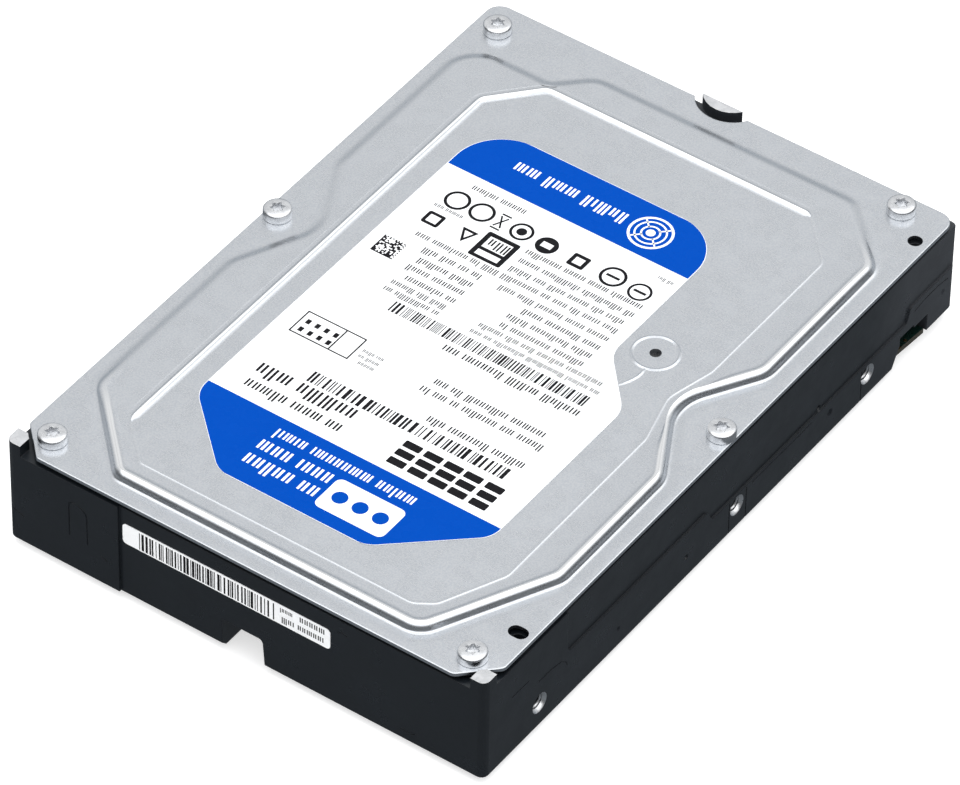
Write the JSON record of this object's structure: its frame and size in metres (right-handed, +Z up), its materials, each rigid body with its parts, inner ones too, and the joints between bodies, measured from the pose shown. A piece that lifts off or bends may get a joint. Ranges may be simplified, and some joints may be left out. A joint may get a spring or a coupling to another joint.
{
  "type": "hard disk drive",
  "caption": "Closed 3.5-inch hard disk drive: die-cast body, embossed metal cover with a label, and, inside, a disk on its motor and a head arm that swings over it.",
  "frame": {"origin": "centre of the underside", "axes": "+X across the drive towards the power end of the connector, +Y towards the connector end, +Z up through the cover"},
  "size_m": [0.1016, 0.147, 0.0254],
  "materials": {
    "body_black": "satin",
    "cover_steel": "satin",
    "bright_steel": "polished",
    "bare_aluminium": "satin",
    "disk_coating": "polished",
    "copper_wire": "satin",
    "plated_magnet": "polished",
    "label_paper": "satin",
    "dark_foam": "matte",
    "filter_cloth": "matte",
    "black_plastic": "matte",
    "ramp_plastic": "satin",
    "flex_film": "gloss",
    "board_laminate": "satin",
    "chip_resin": "matte",
    "slider_ceramic": "satin"
  },
  "bodies": {
    "root": {"base_casting": "body_black", "top_cover": "cover_steel", "cover_screw_front_left": "bright_steel", "cover_screw_front_right": "bright_steel", "cover_screw_middle_left": "bright_steel", "cover_screw_middle_right": "bright_steel", "cover_screw_rear_left": "bright_steel", "cover_screw_rear_right": "bright_steel", "board_screw_front_left": "bright_steel", "board_screw_front_right": "bright_steel", "board_screw_rear_left": "bright_steel", "board_screw_rear_right": "bright_steel", "board_screw_middle": "bright_steel", "drive_label": "label_paper", "barcode_sticker": "label_paper", "cover_gasket": "dark_foam", "breather_filter": "dark_foam", "insulator_pad": "dark_foam", "crash_stop_outer": "dark_foam", "crash_stop_inner": "dark_foam", "motor_base": "bare_aluminium", "bearing_sleeve": "bright_steel", "pivot_shaft": "bright_steel", "magnet_plate_lower": "bright_steel", "magnet_plate_upper": "bright_steel", "spacer_post_right": "bright_steel", "spacer_post_rear": "bright_steel", "latch_pin": "bright_steel", "ramp_screw": "bright_steel", "motor_stator": "copper_wire", "magnet_lower": "plated_magnet", "magnet_upper": "plated_magnet", "load_ramp": "ramp_plastic", "flex_cable": "flex_film", "flex_bracket": "black_plastic", "head_connector": "black_plastic", "sata_connector": "black_plastic", "jumper_header": "black_plastic", "recirculation_filter": "filter_cloth", "circuit_board": "board_laminate", "controller_chip": "chip_resin", "memory_chip": "chip_resin", "motor_driver_chip": "chip_resin"},
    "spindle_rotor": {"spindle_hub": "bare_aluminium", "rotor_magnet": "plated_magnet", "platter": "disk_coating", "disk_clamp": "bright_steel", "clamp_screw": "bright_steel"},
    "actuator": {"actuator_arm": "bare_aluminium", "pivot_bearing": "bright_steel", "voice_coil": "copper_wire", "suspension_lower": "bright_steel", "suspension_upper": "bright_steel", "head_slider_lower": "slider_ceramic", "head_slider_upper": "slider_ceramic"},
    "latch": {"actuator_latch": "ramp_plastic"}
  },
  "joints": [
    {"name": "spindle", "type": "hinge", "parent": "root", "child": "spindle_rotor", "pos_m": [0, -0.0225, 0.0134], "axis": [0, 0, 1], "continuous": true},
    {"name": "head_arm", "type": "hinge", "parent": "root", "child": "actuator", "pos_m": [0.02, 0.0319, 0.0134], "axis": [0, 0, 1], "range_deg": [0, 33.7]},
    {"name": "latch_swing", "type": "hinge", "parent": "root", "child": "latch", "pos_m": [0.038, 0.017, 0.0134], "axis": [0, 0, 1], "range_deg": [0, 12]}
  ]
}
